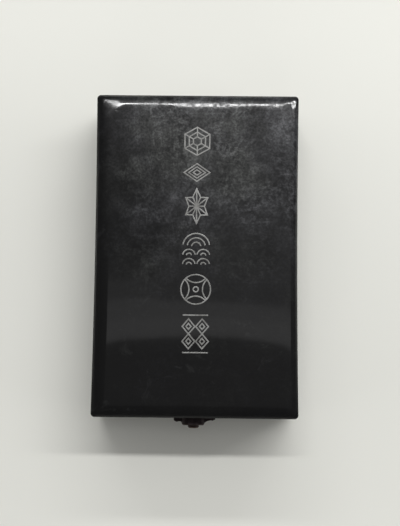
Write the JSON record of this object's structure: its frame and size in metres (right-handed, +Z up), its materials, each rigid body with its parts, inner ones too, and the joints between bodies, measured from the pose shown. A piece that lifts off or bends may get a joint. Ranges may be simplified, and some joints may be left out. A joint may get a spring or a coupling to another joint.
{
  "type": "presentation case",
  "caption": "Shallow black-lacquered case with a hinged lid, inlaid silver ornaments, a velvet tray with a fitted recess, a padded silk lid lining and a push-button clasp.",
  "frame": {"origin": "middle of the case's underside", "axes": "+Z up through the closed lid, +Y from the clasp to the hinges along the case's length, +X to the right seen from the clasp"},
  "size_m": [0.098, 0.1611, 0.0356],
  "materials": {
    "black_lacquer": "thin board under glossy black lacquer, hazed and lightly rubbed",
    "lip_lacquer": "thin wood strip under satin black lacquer",
    "tray_board": "pressed grey-brown board",
    "violet_velvet": "short-pile violet velvet",
    "cream_silk": "cream silk satin over wadding",
    "silver_inlay": "thin matte silver line inlay, tarnished in places",
    "dark_bronze": "chemically darkened bronze, worn on the edges",
    "hinge_brass": "small drawn brass butt hinge, dulled",
    "spring_steel": "plain spring wire"
  },
  "bodies": {
    "base": {"base_floor_board": "black_lacquer", "base_front_wall": "black_lacquer", "base_back_wall": "black_lacquer", "base_left_wall": "black_lacquer", "base_right_wall": "black_lacquer", "lip_front_strip": "lip_lacquer", "lip_back_strip": "lip_lacquer", "lip_left_strip": "lip_lacquer", "lip_right_strip": "lip_lacquer", "tray_block": "tray_board", "tray_velvet": "violet_velvet", "recess_pad": "violet_velvet", "hinge_left_base_leaf": "hinge_brass", "hinge_right_base_leaf": "hinge_brass", "hinge_left_pin": "hinge_brass", "hinge_right_pin": "hinge_brass", "hinge_base_screws": "hinge_brass", "clasp_base_plate": "dark_bronze", "clasp_spring": "spring_steel", "clasp_base_nails": "dark_bronze"},
    "lid": {"lid_top_panel": "black_lacquer", "lid_front_wall": "black_lacquer", "lid_back_wall": "black_lacquer", "lid_left_wall": "black_lacquer", "lid_right_wall": "black_lacquer", "lid_inlay": "silver_inlay", "lid_lining_board": "tray_board", "lid_satin_pad": "cream_silk", "lid_front_lining": "cream_silk", "lid_back_lining": "cream_silk", "lid_left_lining": "cream_silk", "lid_right_lining": "cream_silk", "hinge_left_lid_leaf": "hinge_brass", "hinge_right_lid_leaf": "hinge_brass", "hinge_lid_screws": "hinge_brass", "clasp_lid_plate": "dark_bronze", "clasp_hook": "dark_bronze", "clasp_lid_nails": "dark_bronze"},
    "button": {"clasp_button": "dark_bronze", "clasp_catch": "dark_bronze"}
  },
  "joints": [
    {"name": "lid_hinge", "type": "hinge", "parent": "base", "child": "lid", "pos_m": [0, 0.0757, 0.0221], "axis": [-1, 0, 0], "range_deg": [0, 100]},
    {"name": "button_press", "type": "slide", "parent": "base", "child": "button", "axis": [0, 1, 0], "range_m": [0, 0.001], "stiffness_N_per_m": 300, "springref_m": -0.002, "deforming": ["clasp_spring"]}
  ]
}
